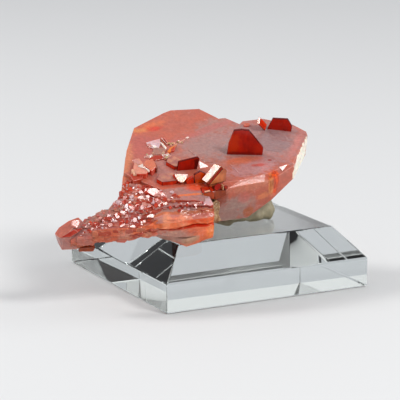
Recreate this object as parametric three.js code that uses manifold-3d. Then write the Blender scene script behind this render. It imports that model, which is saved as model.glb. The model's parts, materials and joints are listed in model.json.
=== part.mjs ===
// Vanadinite crystals on a remnant of matrix, displayed on a clear bevelled acrylic block.
// Millimetres, +Z up. The origin is the middle of the block's underside, and X and Y run along its sides.
import * as THREE from "three";
import { ConvexGeometry } from "three/addons/geometries/ConvexGeometry.js";
import { mergeVertices } from "three/addons/utils/BufferGeometryUtils.js";
import Module from "manifold-3d";

const wasm = await Module();
wasm.setup();

// ---------- driving dimensions ----------

const BLOCK = { side: 30, wall: 3.9, height: 7.9, inset: 3.55 };

// The specimen's own frame: u runs right along the main crystal's front edge, v goes back across its broad
// face, and w is its crystal axis. The broad face is w = 0, and its front edge is near v = 0.
const SPECIMEN = {
  at: new THREE.Vector3(-3.25, -11.6, 15.3),
  lean: THREE.MathUtils.degToRad(20.4),
  roll: THREE.MathUtils.degToRad(-2.9),
  turn: THREE.MathUtils.degToRad(-10.4),
};

// The mineral tack: the lump that shows at the right, and the wad that holds the specimen up. Each has its middle
// on the block, its half widths and its height, and the wad leans with the specimen's underside.
const TACK_LUMP = { at: [3.8, -2.7], half: [3.7, 3.2], height: 2.7, lean: [0, 0] };
const TACK_WAD = { at: [0.2, -3.4], half: [4.6, 2.9], height: 7.5, lean: [-0.6, 1.6] };

// The clearance between two pieces that touch.
const GAP = 0.3;

// The narrow faces that take off a crystal's edges.
const BEVEL = 0.12;

// ---------- solids ----------

// The closed solid of a geometry, moved by a matrix.
function solidOf(geometry, matrix = new THREE.Matrix4()) {
  const bare = geometry.clone().applyMatrix4(matrix);
  bare.deleteAttribute("normal");
  bare.deleteAttribute("uv");
  const merged = mergeVertices(bare, 1e-4);
  return new wasm.Manifold(
    new wasm.Mesh({
      numProp: 3,
      vertProperties: merged.attributes.position.array,
      triVerts: new Uint32Array(merged.index.array),
    }),
  );
}

// The geometry of a solid, for a mesh.
function geometryOf(solid) {
  const made = solid.getMesh();
  const places = new Float32Array(made.numVert * 3);
  for (let i = 0; i < made.numVert; i++) {
    places.set(made.vertProperties.subarray(i * made.numProp, i * made.numProp + 3), i * 3);
  }
  const geometry = new THREE.BufferGeometry();
  geometry.setAttribute("position", new THREE.BufferAttribute(places, 3));
  geometry.setIndex(new THREE.BufferAttribute(new Uint32Array(made.triVerts), 1));
  geometry.computeVertexNormals();
  return geometry;
}

function joined(solids) {
  return solids.reduce((sum, next) => sum.add(next));
}

// The largest body of a solid that a cut may have split.
function largest(solid) {
  return solid.decompose().reduce((best, body) => (body.volume() > best.volume() ? body : best));
}

function moved(solid, matrix) {
  return solidOf(geometryOf(solid), matrix);
}

// The convex solid round some points.
function hull(...points) {
  return solidOf(new ConvexGeometry(points.map((p) => new THREE.Vector3(...p))));
}

// ---------- crystal shapes ----------

// The six corners of a hexagon whose side k faces 60 k degrees and is reach[k] from the middle.
function hexagon(reach) {
  return reach.map((near, k) => {
    const far = reach[(k + 1) % 6];
    const angle = (k * Math.PI) / 3;
    const along = (far - near * Math.cos(Math.PI / 3)) / Math.sin(Math.PI / 3);
    return [near * Math.cos(angle) - along * Math.sin(angle), near * Math.sin(angle) + along * Math.cos(angle)];
  });
}

// A flat crystal. Its front face passes through at and looks along facing, its outline is drawn on that face
// with x to the right and y towards up, and the crystal goes thick behind it. grow makes all of it larger.
function flatCrystal({ at, facing, up = [0, 0, 1], outline, thick, bevel = BEVEL }, grow = 0) {
  const front = new THREE.Vector3(...facing).normalize();
  const right = new THREE.Vector3(...up).cross(front).normalize();
  const top = front.clone().cross(right);
  const middle = outline.reduce((sum, [x, y]) => [sum[0] + x, sum[1] + y], [0, 0]);
  const centre = new THREE.Vector2(...middle).divideScalar(outline.length);
  const points = [];
  for (const [depth, offset] of [[0, grow - bevel], [bevel, grow], [thick - bevel, grow], [thick, grow - bevel]]) {
    const behind = depth < thick / 2 ? depth - grow : depth + grow;
    for (const [x, y] of outline) {
      const out = new THREE.Vector2(x, y).sub(centre);
      const edge = out.clone().setLength(out.length() + offset).add(centre);
      const point = new THREE.Vector3(...at);
      points.push(point.addScaledVector(right, edge.x).addScaledVector(top, edge.y).addScaledVector(front, -behind));
    }
  }
  return solidOf(new ConvexGeometry(points));
}

// A hexagonal plate lying on the broad face, with its top face at the height at[2].
function lyingPlate({ at, reach, spin = 30, facing = [0, 0, 1], thick }, grow = 0) {
  const turn = THREE.MathUtils.degToRad(spin);
  const up = [-Math.sin(turn), Math.cos(turn), 0];
  const six = Array.isArray(reach) ? reach : Array(6).fill(reach);
  return flatCrystal({ at, facing, up, outline: hexagon(six), thick }, grow);
}

// ---------- the crystals that stand on the mass ----------

const STANDING = {
  upright_crystal: {
    make: flatCrystal,
    at: [3.3, 6.3, 0],
    facing: [-0.24, -0.97, 0.02],
    outline: [[-2.45, -0.4], [-2.3, 1.6], [-1.7, 3.65], [-0.7, 3.8], [0.3, 3.7], [2.35, 1.1], [2.3, -0.4]],
    thick: 0.9,
  },
  rear_crystal: {
    make: flatCrystal,
    at: [9.85, 11.3, 0],
    facing: [-0.38, -0.92, 0.05],
    outline: [[-1.7, -0.4], [-1.65, 0.2], [-1.1, 1.7], [0.95, 1.8], [1.6, 0.8], [1.55, -0.4]],
    thick: 0.8,
  },
  rear_stub_crystal: {
    make: flatCrystal,
    at: [7.75, 12.5, 0.1],
    facing: [0.55, -0.8, 0.1],
    outline: [[-0.35, -0.4], [-0.45, 0.7], [-0.1, 1.45], [0.4, 1.3], [0.5, 0.3], [0.3, -0.4]],
    thick: 0.55,
  },
  face_bump_crystal: { make: lyingPlate, at: [6.0, 13.4, 0.32], reach: [0.5, 0.42, 0.45, 0.5, 0.42, 0.45], thick: 0.7 },
  dark_crystal: {
    make: flatCrystal,
    at: [-5.4, 4.3, 0],
    facing: [-0.05, -1, -0.1],
    outline: [[-1.35, -0.4], [-1.2, 1.4], [1.35, 1.75], [1.65, 1.4], [1.35, -0.4]],
    thick: 1.5,
  },
  dark_step_crystal: { make: lyingPlate, at: [-6.5, 6.4, 0.7], reach: [0.9, 1.2, 1.1, 1.0, 1.3, 1.2], thick: 1.0 },
  pale_stub_crystal: {
    make: flatCrystal,
    at: [-3.0, 4.6, 0.1],
    facing: [0.1, -0.75, 0.66],
    outline: [[-0.6, -0.4], [-0.65, 0.5], [-0.1, 1.1], [0.6, 0.6], [0.5, -0.4]],
    thick: 0.7,
  },
  mirror_crystal: {
    make: flatCrystal,
    at: [-6.45, 1.95, 0.25],
    facing: [0.05, -0.62, 0.78],
    outline: [[-0.9, 0.9], [-0.75, 0.25], [-0.3, -0.5], [0.25, -0.55], [0.8, 0.1], [0.95, 1.0]],
    thick: 0.6,
  },
  red_step_crystal: { make: lyingPlate, at: [-8.65, 2.35, 0.55], reach: [1.3, 1.0, 1.2, 1.3, 1.0, 1.4], thick: 1.0 },
  amber_crystal: {
    make: flatCrystal,
    at: [-4.9, 1.3, 0],
    facing: [-0.35, -0.9, 0.25],
    outline: [[-0.9, -0.6], [-1.0, 0.8], [-0.1, 1.75], [0.65, 1.5], [0.9, 0.2], [0.8, -0.9]],
    thick: 0.9,
  },
  bar_crystal: {
    make: flatCrystal,
    at: [-2.2, 1.2, 0],
    facing: [0.29, -0.96, 0.04],
    outline: [[-1.7, 0.05], [0.45, 1.9], [1.4, 1.15], [1.5, -0.9], [-0.45, -0.85]],
    thick: 1.2,
  },
  foot_crystal: {
    make: flatCrystal,
    at: [-3.5, -2.0, -0.25],
    facing: [0.05, -0.85, 0.52],
    outline: [[-1.15, -0.7], [-1.3, 0.3], [-0.8, 0.95], [0.4, 1.0], [1.3, 0.4], [1.2, -0.7]],
    thick: 1.3,
  },
  box_crystal: {
    make: lyingPlate,
    at: [-11.8, 5.1, 0.85],
    reach: [1.8, 1.6, 1.5, 2.0, 1.7, 1.6],
    thick: 1.9,
    facing: [0.02, -0.12, 0.99],
  },
  ledge_crystal: {
    make: flatCrystal,
    at: [-11.0, -0.1, 0.4],
    facing: [0.0, -0.45, 0.89],
    outline: [[-1.0, -0.5], [-1.2, 0.2], [-0.4, 0.8], [0.8, 0.6], [1.1, -0.1], [0.4, -0.7]],
    thick: 0.8,
  },
  tip_crystal: {
    make: flatCrystal,
    at: [-22.4, -2.1, -3.55],
    facing: [-0.1, -0.93, 0.35],
    outline: [[-2.2, -0.9], [-2.45, 0.1], [-0.8, 1.5], [0.9, 1.9], [2.0, 1.2], [1.3, -1.0], [-0.2, -1.9]],
    thick: 2.6,
    bevel: 0.4,
  },
  under_arm_crystal: {
    make: flatCrystal,
    at: [-20.9, -4.1, -4.75],
    facing: [-0.1, -0.9, -0.3],
    outline: [[-1.0, -0.35], [-0.9, 0.4], [0.7, 0.55], [1.1, 0.1], [0.9, -0.5]],
    thick: 1.2,
  },
};

function standing(name, grow = 0) {
  const { make, ...shape } = STANDING[name];
  return make(shape, grow);
}

// Each standing crystal, with room left in it for the ones above it in the list.
function standingCrystals() {
  const names = Object.keys(STANDING);
  return names.map((name, i) => {
    const cut = names.slice(0, i).reduce((left, before) => left.subtract(standing(before, GAP)), standing(name));
    return [name, largest(cut)];
  });
}

// ---------- the intergrown mass ----------

// The broad crystal at the right, with the steep cut along its lower right side.
function rightCrystal() {
  const face = [[5.7, 14.4, 0], [8.6, 14.6, 0], [12.0, 11.9, 0], [12.9, 9.2, 0], [9.0, 3.0, 0], [6.7, 2.1, 0],
    [4.4, 1.2, 0], [0.7, 0.5, 0], [-5, 0.2, 0], [-6, 10, 0]];
  const shoulder = [[-1, -0.3, -0.1], [4.1, 0.45, -0.7], [6.4, 1.1, -0.8], [9.1, 2.7, -0.3], [13.1, 9.2, -0.3],
    [12.1, 12.1, -0.2]];
  const foot = [[-5, -0.8, -5.3], [2.0, 0.15, -5.85], [5.5, 0.8, -3.9], [9.2, 2.9, -2.3], [13.1, 9.2, -3.1],
    [12.1, 12.1, -3.3], [8.6, 14.7, -3.8], [5.7, 14.5, -4.4], [-6, 10, -5.4]];
  return hull(...face, ...shoulder, ...foot);
}

// The middle of the broad face, ending in a notch at the back.
function middleCrystal() {
  const outline = [[4.9, 13.2], [3.4, 15.8], [-1.8, 14.7], [-5.6, 13.4], [-9.5, 7.5], [-8, 0.4], [4, 1.5]];
  return hull(...outline.map(([u, v]) => [u, v, 0]), ...outline.map(([u, v]) => [u, v, -5.1]));
}

// The crystal behind and to the left, a little lower at the back.
function leftCrystal() {
  const face = [[2.3, 16.5, -0.2], [0.9, 19.3, -0.2], [-3.2, 19.5, -0.2], [-9.5, 15.9, -0.1], [-11.8, 10.7, -0.05],
    [-15.8, -0.4, -0.05], [-8, -1, -0.05], [1, 8, -0.05]];
  const foot = [[2.3, 16.5, -4.2], [0.9, 19.3, -3.2], [-3.2, 19.5, -2.9], [-9.7, 15.9, -3.2], [-12, 10.7, -3.8],
    [-15.6, 0, -4.2], [-8, -1, -5], [1, 8, -5]];
  return hull(...face, ...foot);
}

// The stack of stepped plates in front, which stands on the block's front edge.
function frontStack() {
  const ledge = hull([-4.6, -3.3, -0.1], [-5.2, 0.5, -0.1], [-11, 0.5, -0.1], [-10.2, -2.6, -0.1], [-4.4, -3.5, -2],
    [-4.4, 0.5, -2], [-11, 0.5, -2], [-10.4, -3, -2]);
  const upper = hull([-4.5, -4.2, -0.7], [-5, 0.5, -0.7], [-10.9, 0.5, -0.8], [-10.6, -4.1, -1.0], [-4.2, -4.5, -2.7],
    [-4.3, 0.5, -2.7], [-10.9, 0.5, -2.7], [-10.6, -4.4, -2.7]);
  const lower = hull([-4.4, -4.9, -2.6], [-4.3, 0, -2.5], [-10.4, 0, -2.5], [-10.5, -4.7, -2.8], [-4.1, -4.8, -4.7],
    [-4.3, 0, -5.1], [-9.8, -0.5, -5.0], [-10.3, -4.6, -4.5], [-6.4, -5.6, -5.2], [-8.3, -5.5, -5.0]);
  return joined([ledge, upper, lower]);
}

// The long arm to the left, through its cross-sections from the stack to its end.
function arm() {
  const sections = [
    { u: -9, front: -5.0, back: 2, shoulder: -0.9, top: -0.4, foot: -4.7 },
    { u: -13, front: -4.7, back: 0.4, shoulder: -1.3, top: -0.4, foot: -4.1 },
    { u: -16, front: -4.6, back: -0.3, shoulder: -1.7, top: -0.6, foot: -4.1 },
    { u: -19, front: -4.6, back: -0.6, shoulder: -2.2, top: -1.0, foot: -4.2 },
    { u: -21.6, front: -4.3, back: -1.0, shoulder: -2.8, top: -1.9, foot: -4.8 },
  ];
  const ring = ({ u, front, back, shoulder, top, foot }) => [[u, front, shoulder], [u, (front + back) / 2, top],
    [u, back, top - 0.1], [u, back, foot + 0.5], [u, (front + back) / 2, foot], [u, front, foot + 0.2]];
  return joined(sections.slice(1).map((section, i) => hull(...ring(sections[i]), ...ring(section))));
}

function matrixRemnant(grow = 0) {
  const outline = [[-0.55, -1.9], [-0.75, 0.2], [-0.5, 1.7], [0.45, 1.75], [0.7, 0.1], [0.45, -1.8]];
  return flatCrystal({ at: [-3.35, -2.1, -2.3], facing: [0.1, -0.99, 0.1], outline, thick: 1.4, bevel: 0.25 }, grow);
}

// The remnant, with room left in it for the crystals that stand against it.
function fittedRemnant() {
  const seats = Object.keys(STANDING).map((name) => standing(name, GAP));
  return largest(matrixRemnant().subtract(joined(seats)));
}

function crystalMass() {
  const whole = joined([rightCrystal(), middleCrystal(), leftCrystal(), frontStack(), arm()]);
  const seats = Object.keys(STANDING).map((name) => standing(name, GAP));
  return largest(whole.subtract(joined(seats)).subtract(matrixRemnant(GAP)));
}

// ---------- the block and the tack ----------

function blockGeometry() {
  const { side, wall, height, inset } = BLOCK;
  const points = [];
  for (const [half, z] of [[side / 2, 0], [side / 2, wall], [side / 2 - inset, height]]) {
    for (const [x, y] of [[-1, -1], [1, -1], [1, 1], [-1, 1]]) {
      points.push(new THREE.Vector3(x * half, y * half, z));
    }
  }
  return new ConvexGeometry(points);
}

function tackHull({ at, half, height, lean }) {
  const rings = [[0.9, 0], [1, 0.25], [0.85, 0.7], [0.5, 1]];
  const points = [];
  for (const [share, level] of rings) {
    for (let k = 0; k < 12; k++) {
      const angle = (k * Math.PI) / 6;
      const x = at[0] + lean[0] * level + half[0] * share * Math.cos(angle);
      const y = at[1] + lean[1] * level + half[1] * share * Math.sin(angle);
      points.push([x, y, BLOCK.height + GAP + level * height]);
    }
  }
  return hull(...points);
}

function tackSolid(above) {
  const lowered = above.translate([0, 0, -GAP]);
  return largest(joined([tackHull(TACK_LUMP), tackHull(TACK_WAD)]).subtract(lowered));
}

// ---------- the scene graph ----------

const LOOK = {
  body: new THREE.MeshStandardMaterial({ color: 0xbe7a6c, roughness: 0.2 }),
  red: new THREE.MeshStandardMaterial({ color: 0xa81c0a, roughness: 0.12 }),
  matrix: new THREE.MeshStandardMaterial({ color: 0xc3a27c, roughness: 0.85 }),
  tack: new THREE.MeshStandardMaterial({ color: 0xb9b58f, roughness: 0.7 }),
  acrylic: new THREE.MeshStandardMaterial({ color: 0xdfe6e4, roughness: 0.05, transparent: true, opacity: 0.4 }),
};

function piece(name, geometry, material) {
  const mesh = new THREE.Mesh(geometry, material);
  mesh.name = name;
  return mesh;
}

const specimen = new THREE.Group();
specimen.position.copy(SPECIMEN.at);
specimen.rotation.set(SPECIMEN.lean, SPECIMEN.roll, SPECIMEN.turn, "ZYX");
specimen.updateMatrix();

const mass = crystalMass();
specimen.add(piece("crystal_mass", geometryOf(mass), LOOK.body));
specimen.add(piece("matrix_remnant", geometryOf(fittedRemnant()), LOOK.matrix));
for (const [name, solid] of standingCrystals()) {
  specimen.add(piece(name, geometryOf(solid), LOOK.red));
}

const part = new THREE.Group();
part.add(piece("acrylic_block", blockGeometry(), LOOK.acrylic));
part.add(piece("tack_pad", geometryOf(tackSolid(moved(mass, specimen.matrix))), LOOK.tack));
part.add(specimen);

export default part;
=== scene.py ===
"""Vanadinite crystals with a trace of matrix on a clear acrylic block: the looks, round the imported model."""
import json
import math
import random

import bmesh
import bpy
from mathutils import Matrix, Quaternion, Vector, noise
from mathutils.bvhtree import BVHTree


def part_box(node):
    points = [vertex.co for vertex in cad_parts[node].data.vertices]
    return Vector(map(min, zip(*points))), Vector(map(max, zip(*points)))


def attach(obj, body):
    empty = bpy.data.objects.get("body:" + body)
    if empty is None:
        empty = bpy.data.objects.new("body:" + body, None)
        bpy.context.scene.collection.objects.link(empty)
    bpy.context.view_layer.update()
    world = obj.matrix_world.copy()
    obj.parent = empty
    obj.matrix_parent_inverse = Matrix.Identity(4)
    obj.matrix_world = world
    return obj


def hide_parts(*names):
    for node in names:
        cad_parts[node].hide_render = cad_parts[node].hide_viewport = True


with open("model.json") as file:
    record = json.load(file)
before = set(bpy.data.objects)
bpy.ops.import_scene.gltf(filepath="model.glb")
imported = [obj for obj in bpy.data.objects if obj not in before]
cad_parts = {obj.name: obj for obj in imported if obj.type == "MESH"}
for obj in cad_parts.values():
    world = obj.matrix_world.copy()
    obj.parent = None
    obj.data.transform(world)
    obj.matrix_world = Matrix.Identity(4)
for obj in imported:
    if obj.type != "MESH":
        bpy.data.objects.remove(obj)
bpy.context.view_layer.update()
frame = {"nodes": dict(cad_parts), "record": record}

# ---------- the specimen's own frame ----------
# Crystals are drawn in millimetres: u runs right along the broad crystal's front edge, v goes back across its
# broad face, and w is its crystal axis. The broad face is w = 0.

MM = 0.001
SPECIMEN_AT = Vector((-3.25, -11.6, 15.3)) * MM
SPECIMEN_LEAN, SPECIMEN_ROLL, SPECIMEN_TURN = 20.4, -2.9, -10.4


def specimen_matrix():
    turn = Matrix.Rotation(math.radians(SPECIMEN_TURN), 4, "Z")
    roll = Matrix.Rotation(math.radians(SPECIMEN_ROLL), 4, "Y")
    lean = Matrix.Rotation(math.radians(SPECIMEN_LEAN), 4, "X")
    return Matrix.Translation(SPECIMEN_AT) @ turn @ roll @ lean @ Matrix.Scale(MM, 4)


TO_WORLD = specimen_matrix()
AXIS = (TO_WORLD.to_3x3() @ Vector((0, 0, 1))).normalized()  # w, in the world

# A face that looks along one of these, in the specimen's frame, mirrors that light towards the front.
TO_THE_KEY = Vector((0.09, -0.66, 0.75))
TO_THE_BACK_LIGHT = Vector((-0.62, -0.18, 0.76))

# ---------- colours, in linear light ----------

SALMON = (0.45, 0.115, 0.075)
MAUVE = (0.37, 0.17, 0.15)
ORANGE = (0.84, 0.14, 0.03)
DEEP_RED = (0.33, 0.008, 0.002)
BRIGHT_RED = (0.55, 0.025, 0.006)
DRUSE_RED = (0.36, 0.03, 0.015)
GARNET = (0.12, 0.004, 0.002)
PINK = (0.66, 0.26, 0.22)
CREAM = (0.78, 0.42, 0.27)
TAN = (0.46, 0.12, 0.055)
BROWN = (0.25, 0.035, 0.01)
GREY_PINK = (0.36, 0.18, 0.14)
AMBER = (0.46, 0.04, 0.003)
RUSSET = (0.34, 0.014, 0.004)
OLIVE = (0.42, 0.36, 0.16)
FLAME = (0.85, 0.20, 0.02)
ROSE = (0.64, 0.17, 0.145)
GLINT = (0.95, 0.80, 0.70)
LILAC = (0.66, 0.45, 0.47)
PEACH = (0.66, 0.27, 0.19)
RUST = (0.60, 0.17, 0.09)
PLUM = (0.42, 0.15, 0.13)
CHESTNUT = (0.38, 0.045, 0.012)

# The tint that the flats on a crystal's edges turn towards, and by how much: the first is a painted highlight
# along the edges, the second painted shade, a near-black outline for the red crystals.
EDGE_HIGHLIGHT = ((0.80, 0.38, 0.30), 0.35)
DARK = ((0.02, 0.001, 0.001), 0.8)


def blended(a, b, share):
    return tuple(p + (q - p) * share for p, q in zip(a, b))


# ---------- crystal shapes ----------

def hexagon(reach):
    """The corners of a hexagon whose side k faces 60 k degrees and is reach[k] from the middle."""
    if not isinstance(reach, (list, tuple)):
        reach = [reach] * 6
    corners = []
    for k, near in enumerate(reach):
        angle = k * math.pi / 3
        along = (reach[(k + 1) % 6] - near / 2) / math.sin(math.pi / 3)
        corners.append((near * math.cos(angle) - along * math.sin(angle),
                        near * math.sin(angle) + along * math.cos(angle)))
    return corners


SHARP_EDGE = 14  # degrees between two faces, above which their edge is taken off
BEVEL = 0.05
SIDE_COSINE = 0.8  # a face is one of a crystal's sides if it looks further away from its facing than this


def uneven_hexagon(rng, reach, least=0.55, most=1.15):
    """A hexagon whose sides are at random distances from the middle."""
    return hexagon([reach * rng.uniform(least, most) for _ in range(6)])


def tidy_hull(points, bevel, flatness=1.5):
    """A convex crystal round some points. Faces within flatness degrees of each other become one, and each
    true edge is taken off by a narrow flat."""
    bm = bmesh.new()
    for p in points:
        bm.verts.new(p)
    made = bmesh.ops.convex_hull(bm, input=bm.verts)
    loose = {g for g in made["geom_interior"] + made["geom_unused"] if isinstance(g, bmesh.types.BMVert)}
    bmesh.ops.delete(bm, geom=list(loose), context="VERTS")
    bmesh.ops.dissolve_limit(bm, angle_limit=math.radians(flatness), verts=bm.verts, edges=bm.edges)
    bmesh.ops.recalc_face_normals(bm, faces=bm.faces)
    for face in bm.faces:
        face.tag = False
    sharp = [edge for edge in bm.edges if edge.calc_face_angle(0) > math.radians(SHARP_EDGE)]
    if bevel and sharp:
        made = bmesh.ops.bevel(bm, geom=sharp, offset=bevel, segments=1, affect="EDGES", clamp_overlap=True)
        for face in made["faces"]:
            face.tag = True
    return bm


def basis(facing, up=(0, 0, 1)):
    front = Vector(facing).normalized()
    right = Vector(up).cross(front).normalized()
    return right, front.cross(right), front


def flat_points(at, facing, outline, thick, up=(0, 0, 1)):
    """The corners of a flat crystal whose front face passes through at and looks along facing."""
    right, top, front = basis(facing, up)
    return [Vector(at) + right * x + top * y - front * depth for depth in (0, thick) for x, y in outline]


def tilted(direction, degrees, rng):
    """A direction turned by up to that many degrees, any way."""
    axis = Vector((rng.uniform(-1, 1), rng.uniform(-1, 1), rng.uniform(-1, 1))).normalized()
    return Quaternion(axis, math.radians(rng.uniform(-degrees, degrees))) @ Vector(direction)


def linked(name, data):
    made = bpy.data.objects.new(name, data)
    bpy.context.scene.collection.objects.link(made)
    return made


def new_piece(name, bm, material, node, smooth=False):
    """A piece of the one body, which stands for a CAD node and takes its finish from a slot."""
    mesh = bpy.data.meshes.new(name)
    bm.to_mesh(mesh)
    bm.free()
    mesh.materials.append(material)
    if smooth:
        mesh.shade_smooth()
    made = linked(name, mesh)
    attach(made, "root")
    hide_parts(node)


def dropped(tree, u, v):
    """Where something that falls on the specimen at u and v lands, or None."""
    return tree.ray_cast(Vector((u, v, 3)), Vector((0, 0, -1)))[0]


class Cluster:
    """A mesh under construction: convex crystals in the specimen's frame, each with its own tint. zoned says
    how strongly the material's colour zones show on what is added next, and goes into the tint's alpha."""

    def __init__(self, edge, edge_share):
        """edge is the tint that the narrow flats on each crystal's edges turn towards, by edge_share: a
        painted highlight, or on the red crystals a painted dark outline.
        """
        self.edge, self.edge_share = edge, edge_share
        self.zoned = 1.0
        self.bm = bmesh.new()
        self.tint = self.bm.loops.layers.float_color.new("tint")

    def paint(self, face, tint):
        for loop in face.loops:
            loop[self.tint] = (*tint, self.zoned)

    def add(self, crystal, tint, facing=None, side=None):
        """Adds a crystal; side is the tint of the faces that look neither along facing nor against it."""
        places = {v: self.bm.verts.new(v.co) for v in crystal.verts}
        crystal.normal_update()
        for face in crystal.faces:
            away = side and abs(face.normal.dot(Vector(facing).normalized())) < SIDE_COSINE
            shade = side if away else tint
            # the edge flats take the painted highlight or the painted dark outline
            if face.tag:
                shade = blended(shade, self.edge, self.edge_share)
            self.paint(self.bm.faces.new([places[v] for v in face.verts]), shade)
        crystal.free()

    def hull(self, points, tint, bevel=BEVEL):
        self.add(tidy_hull(points, bevel), tint)

    def flat(self, tint, bevel=BEVEL, side=None, **shape):
        self.add(tidy_hull(flat_points(**shape), bevel), tint, shape["facing"], side)

    def tree(self):
        return BVHTree.FromBMesh(self.bm)

    def piece(self, name, material, node):
        self.bm.transform(TO_WORLD)
        new_piece(name, self.bm, material, node)


# ---------- the intergrown mass ----------

SEED = 41


def right_crystal(mass):
    face = [(5.65, 14.7, 0), (8.6, 14.75, 0), (12.1, 12.45, 0), (13.3, 10.4, 0), (13.2, 9.6, 0),
            (9.0, 3.2, 0), (8.2, 2.8, 0), (6.6, 2.15, 0), (5.2, 1.5, 0), (4.4, 1.2, 0), (0.7, 0.5, 0),
            (-4.5, 0.3, 0), (-4.3, 1.6, 0)]
    shoulder = [(-1, -0.3, -0.48), (4.1, 0.45, -0.7), (5.3, 0.85, -0.8), (7.0, 1.85, -0.6), (9.1, 2.95, -0.3),
                (13.3, 9.6, -0.3), (13.4, 10.4, -0.3), (12.2, 12.5, -0.2)]
    foot = [(-5, -0.8, -5.3), (2.0, 0.15, -5.85), (5.5, 0.8, -3.9), (9.2, 2.9, -2.3), (13.2, 9.4, -3.1),
            (12.1, 12.05, -3.3), (8.6, 14.65, -3.8), (5.5, 14.6, -4.4), (-5, 9, -5.4)]
    mass.hull(face + shoulder + foot, SALMON, bevel=0.06)
    # A small chip that faces the key light and mirrors it; its pale pink tint adds a painted highlight.
    mass.flat(PINK, at=(7.22, 2.26, 0.03), facing=TO_THE_KEY, thick=0.3, bevel=0.02,
              outline=[(-0.53, 0.16), (0.85, 0.32), (-0.2, -0.48)])


def middle_crystal(mass):
    outline = [(5.25, 13.8, -0.07), (3.65, 16.2, -0.16), (2.4, 16.2, -0.15), (-3.0, 12.1, -0.05),
               (-6.2, 9.7, -0.02), (-6.9, 5.0, -0.01), (-6.5, 0.4, -0.01), (4, 1.5, -0.05)]
    mass.hull(outline + [(u, v, -5.1) for u, v, _ in outline], SALMON, bevel=0.03)


SLOPE_TAPER, SLOPE_FOOT = 0.985, -4.2


def left_crystal(mass):
    face = [(2.75, 16.6, -0.3), (0.95, 19.55, -0.32), (-3.1, 19.85, -0.25), (-4.3, 19.3, -0.23),
            (-6.9, 17.4, -0.18), (-9.3, 16.13, -0.12), (-11.8, 10.7, -0.04), (-13.6, 5.5, -0.03),
            (-12.6, 3.8, -0.03), (-9.6, 0.1, -0.04), (-8, -1, -0.05), (1, 8, -0.14)]
    foot = [(2.3, 16.5, -4.2), (0.9, 19.4, -3.2), (-3.2, 19.7, -2.9), (-9.5, 16.0, -3.2), (-11.9, 10.7, -3.8),
            (-13.9, 5.5, -4.0), (-12.6, 3.8, -4.4), (-9.6, 0, -5), (-8, -1, -5), (1, 8, -5)]
    mass.hull(face + foot, SALMON, bevel=0.07)
    slope = [(-12.0, 8.8, -0.35), (-13.8, 5.2, -0.5), (-15.6, -0.3, -0.75), (-12.5, -2.2, -0.55),
             (-8.3, -2.4, -0.3), (-9.0, 3.0, -0.35)]
    mass.hull(slope + [(u * SLOPE_TAPER, v, SLOPE_FOOT) for u, v, _ in slope], SALMON, bevel=0.08)


LEFT_MIDDLE = Vector((-5.0, 10.0))
LEFT_BELTS = ((-1.2, -2.0, 1.0124), (-2.5, -2.9, 1.0148))


def left_belts(mass):
    """Growth ledges round the left crystal's sides, each with its top, its foot and how far out it goes."""
    outline = [(0.9, 19.4), (-3.15, 19.7), (-9.4, 16.0), (-11.85, 10.7), (-13.6, 5.5), (-8, 1), (1, 8),
               (2.5, 16.5)]
    for top, foot, out in LEFT_BELTS:
        ring = [LEFT_MIDDLE + (Vector(c) - LEFT_MIDDLE) * out for c in outline]
        mass.hull([(u, v, w) for u, v in ring for w in (top, foot)], SALMON, bevel=0.04)


HILL_TOP, HILL_DEPTH = 0.96, 0.3  # the width of a hill's top to its foot's, and how deep it goes
GROWTH_HILLS = (
    # middle (u, v), reach of the six sides, height, turn in degrees
    ((2.6, 3.5), (1.6, 2.2, 2, 1.8, 2.1, 1.9), 0.035, 12),
    ((8.6, 8.9), (2.2, 3.2, 2.6, 2.4, 2.9, 2.2), 0.02, 6),
    ((-1.4, 8.2), (2.2, 2.8, 2.4, 2, 2.9, 2.2), 0.025, 22),
)


def growth_hills(mass):
    """Very low hexagonal terraces on the broad face."""
    for (u, v), reach, height, spin in GROWTH_HILLS:
        turn = Matrix.Rotation(math.radians(spin), 2)
        outline = [turn @ Vector(c) for c in hexagon(reach)]
        levels = ((height, HILL_TOP), (height - HILL_DEPTH, 1))
        points = [(u + x * s, v + y * s, w) for x, y in outline for w, s in levels]
        mass.hull(points, SALMON, bevel=0.01)


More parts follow.
